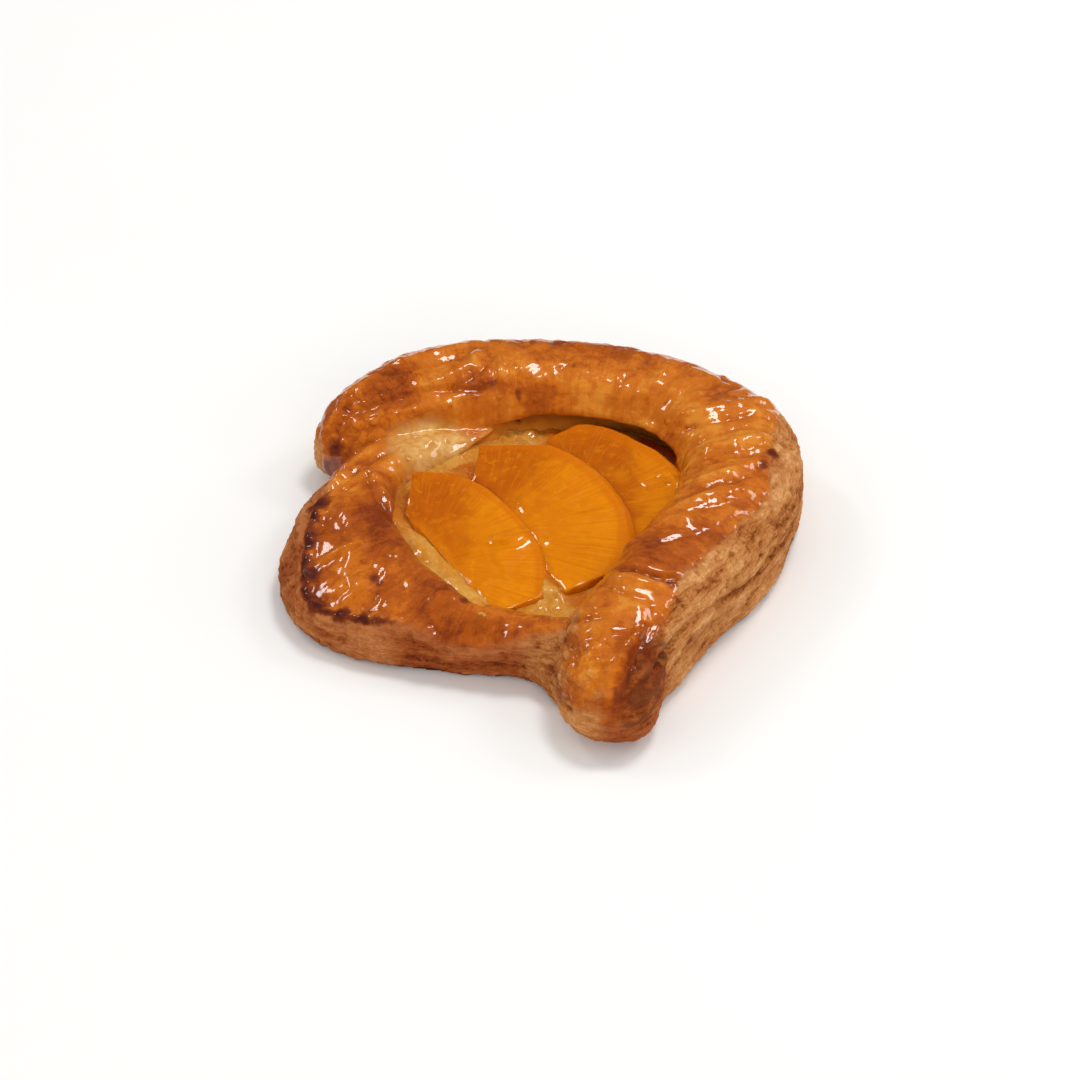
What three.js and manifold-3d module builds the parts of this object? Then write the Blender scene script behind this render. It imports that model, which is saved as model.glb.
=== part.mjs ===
// A windowpane-fold Danish pastry with three peach slices on a bed of custard.
// Millimetres, +Z up. X runs across the pastry and Y along it, from the pinched front
// corner to the back. The origin is the middle of the footprint, on the flat underside.
import * as THREE from 'three';
import { LoftGeometry } from 'three/addons/geometries/LoftGeometry.js';
import { mergeVertices } from 'three/addons/utils/BufferGeometryUtils.js';
import Module from 'manifold-3d';

// ---- driving dimensions ----

const BASE_THICKNESS = 8.5; // the dough sheet under the filling, puffed at its rim
const FLOOR_LEVEL = 5.5; // top of the dough sheet where the custard presses it down
const CLEARANCE = 0.3; // between pieces that touch

const SECTION_POINTS = 26;
const OUTLINE_POINTS = 84;
const LONG_ROWS = 48; // sections along the long strip
const SHORT_ROWS = 30; // and along the short one
const INNER_SQUARENESS = 2.2; // superellipse power of a strip towards the well
const OUTER_SQUARENESS = 3.4; // and towards the outside, where its cut wall stands up
const END_ROUNDING = 0.9; // length of a strip's rounded end, in half widths
const END_TIP = 0.15; // the flat tip left on a rounded end
const END_CROWDING = 0.6; // how far the sections of a strip crowd towards its ends

// Corners of the folded dough sheet in plan, from the left corner round to the front.
const SHEET_OUTLINE = [
  [-57, -4],
  [-52, -18],
  [-40, -27],
  [-22, -31.5],
  [-3, -34.5],
  [4, -43],
  [13, -50],
  [22, -46],
  [36, -25],
  [51, -3],
  [59, 25],
  [53, 43],
  [35, 55],
  [10, 64],
  [-20, 62],
  [-39, 53],
  [-46, 41],
  [-45, 31],
  [-53.5, 14.5],
];

// The long strip, from the back left lobe round the back and the right corner to the
// front lobe. Each station gives the crest's place in plan and its height, how far the
// dough reaches inwards and outwards from the crest, the height of its widest line, how
// deep its foot goes, and the fall of its top from the crest to the outer edge.
const LONG_STRIP = [
  { at: [-47, 32.5], inner: 8, outer: 8, crest: 12, waist: 7, foot: 1.5, fall: 0 },
  { at: [-39, 43], inner: 12, outer: 10.3, crest: 20, waist: 9, foot: 2, fall: 0 },
  { at: [-24, 51], inner: 13, outer: 12.5, crest: 23, waist: 12, foot: 4, fall: 0 },
  { at: [-5, 53.5], inner: 11, outer: 12.5, crest: 23.5, waist: 14, foot: 4, fall: 0 },
  { at: [14, 51.5], inner: 10, outer: 12.5, crest: 23.5, waist: 14, foot: 4, fall: 0 },
  { at: [32, 44.5], inner: 11.5, outer: 13, crest: 23, waist: 13, foot: 4, fall: 1 },
  { at: [43.5, 30], inner: 14, outer: 14.5, crest: 23, waist: 12, foot: 4, fall: 2 },
  { at: [43, 12], inner: 13.5, outer: 14, crest: 23, waist: 12, foot: 4, fall: 3 },
  { at: [34, -6], inner: 13, outer: 13, crest: 23.5, waist: 12, foot: 4, fall: 3 },
  { at: [23, -24], inner: 12, outer: 12, crest: 23.5, waist: 11, foot: 3, fall: 3 },
  { at: [16, -38], inner: 12.5, outer: 11, crest: 21.5, waist: 9, foot: 0.5, fall: 1 },
  { at: [13.5, -57.5], inner: 10, outer: 10, crest: 14, waist: 7, foot: 0.5, fall: 0 },
];

// The short strip, from under the long strip at the front round the left corner to
// under the long strip at the back left.
const SHORT_STRIP = [
  { at: [12, -30], inner: 5, outer: 6, crest: 14, waist: 8, foot: 4, fall: 1 },
  { at: [-6, -28], inner: 5, outer: 6, crest: 13.5, waist: 7.5, foot: 4, fall: 2.5 },
  { at: [-22, -19.5], inner: 6, outer: 12, crest: 14.5, waist: 7, foot: 4, fall: 4 },
  { at: [-32.5, -6], inner: 6.5, outer: 20, crest: 15.5, waist: 7, foot: 4, fall: 5 },
  { at: [-37.5, 8], inner: 6.5, outer: 17.5, crest: 16.5, waist: 7, foot: 4, fall: 5 },
  { at: [-36, 22], inner: 6.5, outer: 12, crest: 16.5, waist: 7, foot: 4, fall: 3 },
  { at: [-26, 34], inner: 8, outer: 9, crest: 15, waist: 7, foot: 4, fall: 1 },
  { at: [-8, 42], inner: 8, outer: 9, crest: 12.5, waist: 6, foot: 4, fall: 1 },
  { at: [18, 43], inner: 7, outer: 9, crest: 12, waist: 6, foot: 4, fall: 1 },
];

// Corners of the custard's bed in plan; it reaches a little way under the strips.
const CUSTARD_OUTLINE = [
  [-37, 6],
  [-31, -11],
  [-15, -25],
  [4, -29],
  [18, -20],
  [30, 2],
  [36, 20],
  [33, 36],
  [16, 42],
  [-8, 41],
  [-28, 32],
];
const CUSTARD_EDGE = 10.4;
const CUSTARD_CROWN = 12.6;

// The peach slices are cut from one half peach. Each lies with a cut face up; `at` is
// the middle of the straight edge of that face, `half` half the slice's length and
// `reach` its width from the straight edge to the skin.
const PEACH_TIP_BLUNTNESS = 2.2; // superellipse power of the outline of a slice
const PEACH_WEDGE_DEG = 21;
const STONE_SWELL = 3; // how far the stone side swells out at its middle
const PEACH_EDGE_DEPTH = 4.5; // thickness along the straight edge
const SLICES = [
  {
    name: 'peach_slice_left', at: [-17.5, -5, 14.6], half: 23.8, reach: 16.5,
    heading: -60, roll: 5, pitch: 5,
  },
  {
    name: 'peach_slice_middle', at: [-3.3, 4, 14.6], half: 25.4, reach: 23,
    heading: -62, roll: 6, pitch: 5,
  },
  {
    name: 'peach_slice_right', at: [13, 14.5, 12.8], half: 24, reach: 23,
    heading: -60, roll: 7, pitch: 1,
  },
];

// ---- solids ----

const wasm = await Module();
wasm.setup();

function toSolid(geometry) {
  const bare = new THREE.BufferGeometry().copy(geometry);
  bare.deleteAttribute('normal');
  bare.deleteAttribute('uv');
  const merged = mergeVertices(bare, 1e-4);
  return new wasm.Manifold(
    new wasm.Mesh({
      numProp: 3,
      vertProperties: new Float32Array(merged.attributes.position.array),
      triVerts: new Uint32Array(merged.index.array),
    }),
  );
}

function toGeometry(solid) {
  const mesh = solid.getMesh();
  const geometry = new THREE.BufferGeometry();
  geometry.setAttribute('position', new THREE.BufferAttribute(mesh.vertProperties, 3));
  geometry.setIndex(new THREE.BufferAttribute(mesh.triVerts, 1));
  geometry.computeVertexNormals();
  return geometry;
}

function box(low, high) {
  const size = new THREE.Vector3().subVectors(high, low);
  const geometry = new THREE.BoxGeometry(size.x, size.y, size.z);
  geometry.translate((low.x + high.x) / 2, (low.y + high.y) / 2, (low.z + high.z) / 2);
  return toSolid(geometry);
}

// The plan outline drawn inwards by an inset, as a ring of points at one height.
function sheetRing(curve, inset, height) {
  const ring = [];
  for (let i = 0; i < OUTLINE_POINTS; i++) {
    const t = i / OUTLINE_POINTS;
    const point = curve.getPoint(t);
    const tangent = curve.getTangent(t);
    ring.push(
      new THREE.Vector3(point.x - tangent.y * inset, point.y + tangent.x * inset, height),
    );
  }
  return ring;
}

// The dough sheet: its outline stacked in rings, so that its side is puffed.
function doughSheet(thickness) {
  const curve = planCurve(SHEET_OUTLINE);
  const rows = 7;
  const puff = 2.2;
  const rings = [];
  for (let i = 0; i <= rows; i++) {
    const angle = (i / rows - 0.5) * Math.PI;
    const inset = puff * (1 - Math.cos(angle));
    rings.push(sheetRing(curve, inset, (thickness / 2) * (1 + Math.sin(angle))));
  }
  return toSolid(new LoftGeometry(rings, { capStart: true, capEnd: true }));
}

// One section of a strip: a rounded form across the path, squarer on its outer side.
function stripSection(centre, across, station, scale, grow) {
  const ring = [];
  for (let i = 0; i < SECTION_POINTS; i++) {
    const angle = (i / SECTION_POINTS) * Math.PI * 2;
    const c = Math.cos(angle);
    const s = Math.sin(angle);
    const power = 2 / (c > 0 ? OUTER_SQUARENESS : INNER_SQUARENESS);
    const side = Math.sign(c) * Math.abs(c) ** power;
    const rise = Math.sign(s) * Math.abs(s) ** power;
    const reach = ((c > 0 ? station.outer : station.inner) + grow) * scale;
    const above = station.crest - station.fall * Math.max(0, side) + grow - station.waist;
    const below = station.waist - station.foot + grow;
    ring.push(
      new THREE.Vector3(
        centre.x + across.x * side * reach,
        centre.y + across.y * side * reach,
        station.waist + rise * scale * (s > 0 ? above : below),
      ),
    );
  }
  return ring;
}

// A strip of dough lofted along its stations, with rounded ends.
function doughStrip(stations, rows, grow = 0) {
  const through = (values) =>
    new THREE.CatmullRomCurve3(stations.map((s) => new THREE.Vector3(...values(s))));
  const path = through((s) => [s.at[0], s.at[1], 0]);
  const widths = through((s) => [s.inner, s.outer, s.fall]);
  const heights = through((s) => [s.crest, s.waist, s.foot]);
  const length = path.getLength();
  const rings = [];
  for (let i = 0; i <= rows; i++) {
    const even = i / rows;
    const eased = (1 - Math.cos(even * Math.PI)) / 2;
    const t = THREE.MathUtils.lerp(even, eased, END_CROWDING);
    const { x: inner, y: outer, z: fall } = widths.getPoint(t);
    const { x: crest, y: waist, z: foot } = heights.getPoint(t);
    const fromEnd = Math.min(t, 1 - t) * length;
    const round = Math.min(1, (fromEnd + END_TIP) / (END_ROUNDING * inner));
    const scale = Math.sqrt(1 - (1 - round) ** 2);
    const tangent = path.getTangent(t);
    const across = new THREE.Vector2(-tangent.y, tangent.x);
    const station = { inner, outer, fall, crest, waist, foot };
    rings.push(stripSection(path.getPoint(t), across, station, scale, grow));
  }
  return toSolid(new LoftGeometry(rings, { capStart: true, capEnd: true }));
}

// A closed curve through plan corners.
function planCurve(corners) {
  const points = corners.map(([x, y]) => new THREE.Vector3(x, y, 0));
  return new THREE.CatmullRomCurve3(points, true, 'centripetal');
}

// The custard: a straight-sided bed with a crown that rises towards its middle.
function custardBed(floor, shrink = 0) {
  const curve = planCurve(CUSTARD_OUTLINE);
  const steps = [
    { spread: 1, height: floor },
    { spread: 1, height: CUSTARD_EDGE - 1 },
    { spread: 0.98, height: CUSTARD_EDGE },
    { spread: 0.8, height: CUSTARD_EDGE + 1 },
    { spread: 0.5, height: CUSTARD_CROWN },
  ];
  const middle = new THREE.Box3()
    .setFromPoints(sheetRing(curve, 0, 0))
    .getCenter(new THREE.Vector3());
  const rings = steps.map(({ spread, height }) =>
    sheetRing(curve, shrink, height).map((point) => {
      const centre = middle.clone().setZ(height);
      return centre.lerp(point, spread);
    }),
  );
  return toSolid(new LoftGeometry(rings, { capStart: true, capEnd: true }));
}

function pastry() {
  const ground = box(new THREE.Vector3(-100, -100, -20), new THREE.Vector3(100, 100, 0));
  return doughSheet(BASE_THICKNESS)
    .subtract(custardBed(FLOOR_LEVEL))
    .add(doughStrip(LONG_STRIP, LONG_ROWS))
    .add(doughStrip(SHORT_STRIP, SHORT_ROWS))
    .subtract(ground);
}

// A slice: sections across the peach's core line, each a sector of the flesh.
function peachSlice({ at, half, reach, heading, roll, pitch }, grow = 0) {
  const rows = 16;
  const steps = 8;
  const rings = [];
  for (let i = 0; i <= rows; i++) {
    const along = -Math.cos(((i + 0.3) / (rows + 0.6)) * Math.PI);
    const narrowing = (1 - Math.abs(along) ** PEACH_TIP_BLUNTNESS) ** (1 / PEACH_TIP_BLUNTNESS);
    const outer = reach * narrowing;
    const inner = -STONE_SWELL * (1 - along * along);
    const wedge = THREE.MathUtils.degToRad(PEACH_WEDGE_DEG * (1 + along * along));
    const depth = Math.min(PEACH_EDGE_DEPTH, outer * Math.sin(wedge));
    const y = along * (half + grow);
    const ring = [];
    for (let k = 0; k <= steps; k++) {
      const angle = -wedge * (k / steps);
      const lift = grow * (1 - (2 * k) / steps);
      ring.push(
        new THREE.Vector3((outer + grow) * Math.cos(angle), y, outer * Math.sin(angle) + lift),
      );
    }
    ring.push(new THREE.Vector3(inner + 0.5 - grow, y, -depth - grow));
    ring.push(new THREE.Vector3(inner - grow, y, grow));
    rings.push(ring);
  }
  const geometry = new LoftGeometry(rings, { capStart: true, capEnd: true });
  geometry.rotateX(THREE.MathUtils.degToRad(pitch));
  geometry.rotateY(THREE.MathUtils.degToRad(-roll));
  geometry.rotateZ(THREE.MathUtils.degToRad(heading + 90));
  geometry.translate(...at);
  return toSolid(geometry);
}

// The largest of the bodies a cut leaves.
function largestBody(solid) {
  return solid.decompose().reduce((a, b) => (a.volume() > b.volume() ? a : b));
}

const root = new THREE.Group();

function addPiece(name, solid, material) {
  const mesh = new THREE.Mesh(toGeometry(solid), material);
  mesh.name = name;
  root.add(mesh);
}

const baked = new THREE.MeshStandardMaterial({ color: 0xb9651b, roughness: 0.35 });
const cream = new THREE.MeshStandardMaterial({ color: 0xe6cf8e, roughness: 0.4 });
const peach = new THREE.MeshStandardMaterial({ color: 0xe08a10, roughness: 0.2 });

const dough = pastry();
addPiece('pastry', dough, baked);

// Everything that lies in the well is cut back from the dough around it by the clearance.
const bed = custardBed(FLOOR_LEVEL + CLEARANCE, CLEARANCE);
let taken = doughSheet(BASE_THICKNESS + CLEARANCE)
  .subtract(bed)
  .add(doughStrip(LONG_STRIP, LONG_ROWS, CLEARANCE))
  .add(doughStrip(SHORT_STRIP, SHORT_ROWS, CLEARANCE));
for (const slice of SLICES) {
  addPiece(slice.name, largestBody(peachSlice(slice).subtract(taken)), peach);
  taken = taken.add(peachSlice(slice, CLEARANCE));
}
addPiece('custard', largestBody(bed.subtract(taken)), cream);

// The frame's origin is the middle of the footprint.
const middle = new THREE.Box3().setFromObject(root).getCenter(new THREE.Vector3());
for (const mesh of root.children) {
  mesh.geometry.translate(-middle.x, -middle.y, 0);
}

export default root;
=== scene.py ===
"""A folded danish pastry with custard, peach slices and glaze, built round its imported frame.

The frame is in metres. Places and sizes in this file are in millimetres in the frame's own
axes, with the origin under the middle of the pastry, and are turned into metres by MM.
"""

import math

import bpy
import numpy as np
from mathutils import Matrix, Vector


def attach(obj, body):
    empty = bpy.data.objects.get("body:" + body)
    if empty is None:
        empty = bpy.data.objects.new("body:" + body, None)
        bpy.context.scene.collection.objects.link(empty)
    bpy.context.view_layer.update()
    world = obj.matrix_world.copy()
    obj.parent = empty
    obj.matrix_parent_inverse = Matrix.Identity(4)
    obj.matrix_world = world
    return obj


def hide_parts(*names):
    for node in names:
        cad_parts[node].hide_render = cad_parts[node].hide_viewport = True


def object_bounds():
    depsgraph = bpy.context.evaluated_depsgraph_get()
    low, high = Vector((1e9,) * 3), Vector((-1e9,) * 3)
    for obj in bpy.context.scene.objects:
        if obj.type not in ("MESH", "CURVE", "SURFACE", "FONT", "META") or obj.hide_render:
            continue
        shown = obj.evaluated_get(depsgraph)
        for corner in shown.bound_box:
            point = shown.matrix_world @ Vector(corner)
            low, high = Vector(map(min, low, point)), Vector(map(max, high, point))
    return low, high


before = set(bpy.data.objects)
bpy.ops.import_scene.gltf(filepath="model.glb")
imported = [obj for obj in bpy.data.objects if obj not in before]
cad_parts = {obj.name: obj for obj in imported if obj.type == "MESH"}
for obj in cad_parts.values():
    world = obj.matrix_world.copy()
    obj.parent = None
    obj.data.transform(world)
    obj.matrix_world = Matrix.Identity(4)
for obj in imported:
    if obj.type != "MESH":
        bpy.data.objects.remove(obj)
cad_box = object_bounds()

MM = 0.001

# ---- places, in millimetres ----

# The middle line of each fold in plan. The long fold runs from the back left lobe round
# the back and the right corner to the front lobe; the short fold from the front notch
# round the left corner to the back.
LONG_FOLD = [
    (-48, 28), (-40, 39), (-25, 47), (-6, 49.5), (13, 47.5), (31, 40.5),
    (42.5, 26), (42, 8), (33, -10), (22, -28), (15, -42), (12.5, -61.5),
]
SHORT_FOLD = [
    (11, -34), (-7, -32), (-23, -23.5), (-33.5, -10), (-38.5, 4), (-37, 18),
    (-27, 30), (-9, 38), (17, 39),
]

# Where the glazed top ends and the bare cut wall begins, each run the same way as its fold.
SHORT_GLAZE_EDGE = [
    (4, -36), (-7, -37), (-13, -37), (-20, -36), (-25, -33), (-31, -30.5), (-37, -29),
    (-42, -27), (-46, -25.5), (-49, -23), (-51, -19), (-51.5, -14), (-51.5, -8), (-51, -1),
    (-49, 6), (-46, 14), (-43, 22),
]
LONG_GLAZE_EDGE = [
    (40, 52), (50, 40), (53, 33), (50.5, 21), (49, 10), (48.5, 1), (44.5, -6), (41, -11),
    (36.5, -17), (32, -24), (27.5, -30), (26.5, -36), (24.5, -42), (19.5, -49), (16, -56),
    (15, -62),
]

# Ridges (height over 0) and furrows (under 0): points in plan, half width and height.
CREASES = [
    ([(27, 31), (34, 29), (42, 31), (52, 37)], 1.6, 0.9),
    ([(30, 26), (38, 25), (48, 29)], 0.8, -0.7),
    ([(33, 16), (41, 17), (50, 21)], 1.5, 0.9),
    ([(33, 10), (41, 12), (49, 15)], 0.8, -0.7),
    ([(31, 20), (38, 20.5), (47, 24)], 0.7, -0.5),
    ([(34, 13), (42, 14), (49, 18)], 0.6, -0.45),
    ([(32, 4), (41, 7), (48, 12)], 1.3, 0.8),
    ([(30, -1), (38, 2), (47, 6)], 0.7, -0.6),
    ([(24, -7), (33, -3), (39, -1), (45, 1)], 1.4, 0.8),
    ([(27, -9), (36, -6), (42, -4)], 0.8, -0.6),
    ([(17, -16), (26, -11), (32, -11)], 1.3, 0.7),
    ([(20, -21), (27, -18), (35, -14)], 0.8, -0.5),
    ([(14, -24), (18, -28), (24, -30), (28, -29)], 0.9, -1.1),
    ([(13, -28), (17, -31), (24, -33)], 1.2, 0.8),
    ([(12, -31), (16, -35), (22, -37)], 0.8, -0.6),
    ([(20, 36), (26, 42), (30, 50)], 1.3, 0.6),
    ([(14, 38), (20, 44), (24, 52)], 0.8, -0.45),
    ([(34, 34), (40, 36), (46, 42)], 0.8, -0.6),
    ([(-36, 50), (-27, 51), (-18, 56)], 1.2, 0.8),
    ([(-38, 46), (-28, 47), (-18, 50)], 0.8, -0.6),
    ([(-28, 39), (-18, 46), (-15, 53)], 1.3, 0.9),
    ([(-24, 38), (-15, 44), (-11, 52)], 0.7, -0.7),
    ([(-10, 48), (-10, 42)], 0.8, 0.9),
    ([(-7, 47), (-4, 43)], 0.7, 0.8),
    ([(-13, 46), (-12, 42)], 0.6, 0.6),
    ([(2, 44), (7, 47), (12, 46)], 0.8, -0.4),
    ([(-45, 33), (-38, 33), (-30, 35), (-20, 37)], 1.0, 0.7),
    ([(-42, 36), (-33, 38), (-24, 39.5), (-12, 40.5)], 0.7, -0.7),
    ([(-47, 36), (-40, 40), (-30, 42)], 0.8, -0.5),
    ([(-50, 33), (-44, 42), (-36, 47)], 0.9, 0.5),
    ([(-49, 10), (-42, 17), (-38, 14), (-34, 6), (-28, -2)], 1.1, 0.8),
    ([(-46, 8), (-40, 12), (-37, 6), (-33, -2)], 0.7, -0.5),
    ([(-48, -11), (-43, -9), (-38, -9)], 0.9, 0.6),
    ([(-37, 10), (-33, 0), (-28, -8), (-22, -17)], 0.8, -0.5),
    ([(-46, 16), (-42, 22), (-36, 27)], 1.0, 0.7),
    ([(-44, 12), (-38, 20), (-33, 24)], 0.8, -0.6),
    ([(-48, 19), (-43, 26), (-37, 30)], 0.8, -0.9),
    ([(-20, -22), (-12, -28), (-3, -31)], 0.9, -0.4),
    ([(4, -35), (8, -40), (14, -42)], 0.8, -0.7),
    ([(2, -38), (5, -43), (7, -50)], 0.9, -0.7),
    ([(-3, -35), (3, -35), (8, -33)], 1.0, 0.7),
    ([(20, -44), (16, -49), (13, -54), (13, -59)], 1.0, 0.9),
    ([(23, -41), (20, -47), (17, -52), (16, -57)], 0.8, -0.6),
    ([(15, 32.5), (20, 31.5), (24.5, 29)], 1.8, 0.8),
    ([(-34, 18), (-30, 23.5)], 1.6, 0.8),
    ([(-27, 27), (-24, 30)], 1.2, 0.6),
    ([(8.5, -47.5), (12, -48.5)], 1.6, 0.7),
]

# How brown the crust is: plan place, radius and strength, under 0 where it is paler.
TONES = [
    (-40, -4, 13, 0.42), (-29, -22, 10, 0.36), (-14, -34.5, 3.6, 0.75), (-8, -35.5, 3.4, 0.70),
    (-20, -34, 3.6, 0.65), (-27, -31, 3.4, 0.55), (-2, -34.5, 3.4, 0.50), (8, -53, 4.0, -0.35),
    (-36, -1, 5, 0.55), (-36, 6, 5, 0.40), (-30, -9, 5, 0.35), (-23, -21, 5, 0.30),
    (-48, -4, 4, 0.55), (-48, -18, 4, 0.45), (-17, -34, 4, 0.40), (-24, -30, 4, 0.20),
    (-27, -23, 5, -0.30), (-13, -32, 5, -0.20), (-43, -13, 4, -0.10), (-42, 10, 4, -0.15),
    (-40, 35, 5, 0.15), (-33, 37, 5, 0.15), (-23, 39, 5, 0.22), (-13, 41, 5, 0.22),
    (-4, 41, 5, 0.15), (-47, 31, 5, 0.35), (-34, 48, 6, 0.15), (-48, 40, 5, 0.20),
    (-12, 51, 7, -0.15), (4, 46, 8, -0.32), (16, 42, 8, -0.35), (28, 38, 7, -0.22),
    (-21, 46, 5, -0.25), (40, 34, 4, 0.35), (49, 12, 5, 0.40), (45, 32, 4, 0.10),
    (41, 22, 8, -0.55), (38, 7, 7, -0.40), (31, -4, 5, -0.20), (26, -23, 5, 0.42),
    (22, -28, 4, 0.35), (33, -12, 6, 0.28), (25, -14, 5, 0.22), (16, -20, 5, 0.32),
    (40, -12, 4, -0.40), (19, -37, 5, -0.40), (12, -38, 4, -0.30), (10, -47, 4, -0.10),
    (18, -48, 5, 0.25), (23, -50, 4, 0.85), (18, -57, 5, 0.75), (14, -61, 4, 0.50),
    (12, -43, 4, 0.05), (0, -33, 4, -0.20), (30, 15, 5, -0.25), (24, 34, 5, -0.30),
]

# Small spots where the crust has scorched: plan place, radius and strength.
SCORCHES = [
    (-36, -18.5, 1.3, 0.65), (-35, -20, 1.1, 0.55), (-17, -27, 1.2, 0.50), (-50, -14, 2.2, 0.7),
    (-49, 6, 2.2, 0.7), (-48, -23, 2.0, 0.8), (-43, -26.5, 1.8, 0.7), (50, 15, 1.5, 0.65),
    (48, 10, 1.2, 0.55), (26, -31, 1.4, 0.45), (-50, 28, 2.0, 0.7),
    (-47, 30, 1.8, 0.6), (-12, 41.5, 1.2, 0.4), (-6, 40, 1.0, 0.35), (-3, 56, 1.6, 0.4),
    (21, -49, 1.6, 0.5), (15, -58, 1.8, 0.45),
]

# The rolled end of the long fold shows its leaves in an oval on the lobe's right flank.
ROLL_MIDDLE = (20, -53, 13)
ROLL_ALONG = (0.45, 0.85, 0.28)

# Where each slice's cut face lies, how it is turned, and the ridges of syrup that stand on it.
# One number for each slice paints its whole flesh lighter or darker as painted light; the right slice is
# painted darker, as painted shade.
PEACHES = [
    {"name": "peach_slice_left", "at": (-18.5, -9.1, 14.7), "half": 26.6, "reach": 17.2,
     "heading": -60, "roll": 3, "pitch": 5, "tip_turn": 30, "painted_light_shift": 0.0, "seed": 3,
     "ridges": [([(-10.0, -8.0), (-6.5, -8.6), (-4.8, -7.6)], 1.6, 0.85), ([(-22, -2), (-17, -5)], 1.4, 0.30)]},
    {"name": "peach_slice_middle", "at": (-4.3, -0.6, 14.9), "half": 28.2, "reach": 23.2,
     "heading": -62, "roll": 5, "pitch": 4, "tip_turn": 30, "painted_light_shift": 0.05, "seed": 5,
     "ridges": [([(-5.0, 5.0), (-2.5, -1.0), (-0.5, -8.0)], 1.8, 0.70), ([(15, 10), (18.5, 3)], 1.3, 0.45)]},
    {"name": "peach_slice_right", "at": (11.5, 9.0, 13.4), "half": 27.0, "reach": 21.4,
     "heading": -60, "roll": 6, "pitch": 1, "tip_turn": 2, "painted_light_shift": -0.28, "seed": 8,
     "ridges": [([(26.4, 15.0), (28.6, 12.4)], 1.7, 0.95), ([(13, 24), (18, 20), (21, 13)], 1.3, 0.55)]},
]

# A slice is cut from a ball this deep, whose middle lies this far under the cut face, so
# its skin swells out beyond the face. The ball is longer than the slice by a share.
PEACH_DEPTH = 9.5
PEACH_SINK = 4.2
PEACH_SQUARENESS = 2.1
PEACH_LENGTHEN = 1.07


# ---- small tools ----

def linear(red, green, blue):
    """A colour of 0 to 255 as the shader's linear colour."""
    steps = np.array([red, green, blue]) / 255
    values = np.where(steps <= 0.04045, steps / 12.92, ((steps + 0.055) / 1.055) ** 2.4)
    return (*(float(v) for v in values), 1.0)


def smoothstep(low, high, values):
    share = np.clip((values - low) / (high - low), 0, 1)
    return share * share * (3 - 2 * share)


def hashed(cells, seed):
    """Three even random numbers from 0 to 1 for each whole-number cell."""
    primes = np.array([73856093, 19349663, 83492791], dtype=np.int64)
    key = ((cells.astype(np.int64) * primes).sum(1) + seed * 40503).astype(np.uint64)
    out = []
    for _ in range(3):
        key = (key ^ (key >> np.uint64(15))) * np.uint64(2246822519)
        key = (key ^ (key >> np.uint64(13))) * np.uint64(3266489917)
        out.append((key >> np.uint64(11)).astype(np.float64) / 2.0 ** 53)
    return np.stack(out, 1)


def ripple(points, seed=0):
    """Smooth gradient noise, about -1 to 1, whose lumps are about one unit across."""
    cells = np.floor(points)
    inside = points - cells
    ease = inside ** 3 * (inside * (inside * 6 - 15) + 10)
    total = np.zeros(len(points))
    for corner in np.ndindex(2, 2, 2):
        corner = np.array(corner)
        slope = hashed(cells + corner, seed) * 2 - 1
        weight = np.where(corner, ease, 1 - ease).prod(1)
        total += weight * ((inside - corner) * slope).sum(1)
    return total * 1.7


def swell(points, seed=0):
    """Smooth swellings with sharp furrows between them, about -0.4 to 1."""
    return np.abs(ripple(points, seed)) * 1.6 - 0.4


def rough(points, seed=0, layers=3):
    """Several sizes of ripple added up."""
    total = np.zeros(len(points))
    for k in range(layers):
        total += ripple(points * 2 ** k, seed + 17 * k) / 2 ** k
    return total


def bubbles(points, seed=0):
    """Domes, 1 at each middle and 0 where two meet, one to a unit cell."""
    cells = np.floor(points)
    nearest = np.full(len(points), 9.0)
    second = np.full(len(points), 9.0)
    for offset in np.ndindex(3, 3, 3):
        cell = cells + np.array(offset) - 1
        gap = np.linalg.norm(cell + hashed(cell, seed) - points, axis=1)
        second = np.minimum(second, np.maximum(nearest, gap))
        nearest = np.minimum(nearest, gap)
    return np.clip((second - nearest) * 1.6, 0, 1)


def smooth_path(corners, steps=24):
    """Points along a smooth curve through plan corners."""
    corners = np.array(corners, float)
    before = np.vstack([2 * corners[0] - corners[1], corners[:-1]])
    after = np.vstack([corners[1:], 2 * corners[-1] - corners[-2]])
    slopes = (after - before) / 2
    path = []
    for k in range(len(corners) - 1):
        for t in np.arange(steps) / steps:
            path.append(
                (2 * t ** 3 - 3 * t ** 2 + 1) * corners[k]
                + (t ** 3 - 2 * t ** 2 + t) * slopes[k]
                + (3 * t ** 2 - 2 * t ** 3) * corners[k + 1]
                + (t ** 3 - t ** 2) * slopes[k + 1]
            )
    path.append(corners[-1])
    return np.array(path)


def along_and_across(plan, corners):
    """For plan points: the place along a smooth path, the distance to its left, the
    plain distance to it, and the direction to its left."""
    path = smooth_path(corners)
    steps = np.diff(path, axis=0)
    lengths = np.linalg.norm(steps, axis=1)
    distance = np.concatenate([[0], np.cumsum(lengths)])
    tangents = steps / lengths[:, None]
    tangents = np.vstack([tangents, tangents[-1]])
    nearest = np.zeros(len(plan), int)
    best = np.full(len(plan), 1e9)
    for k, point in enumerate(path):
        gap = ((plan - point) ** 2).sum(1)
        closer = gap < best
        nearest[closer] = k
        best[closer] = gap[closer]
    offset = plan - path[nearest]
    tangent = tangents[nearest]
    along = distance[nearest] + (offset * tangent).sum(1)
    left = np.stack([-tangent[:, 1], tangent[:, 0]], 1)
    across = (offset * left).sum(1)
    return along, across, np.sqrt(best), left


def deselect():
    if bpy.context.object and bpy.context.object.mode != "OBJECT":
        bpy.ops.object.mode_set(mode="OBJECT")
    bpy.ops.object.select_all(action="DESELECT")


def pick(piece):
    deselect()
    piece.select_set(True)
    bpy.context.view_layer.objects.active = piece


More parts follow.
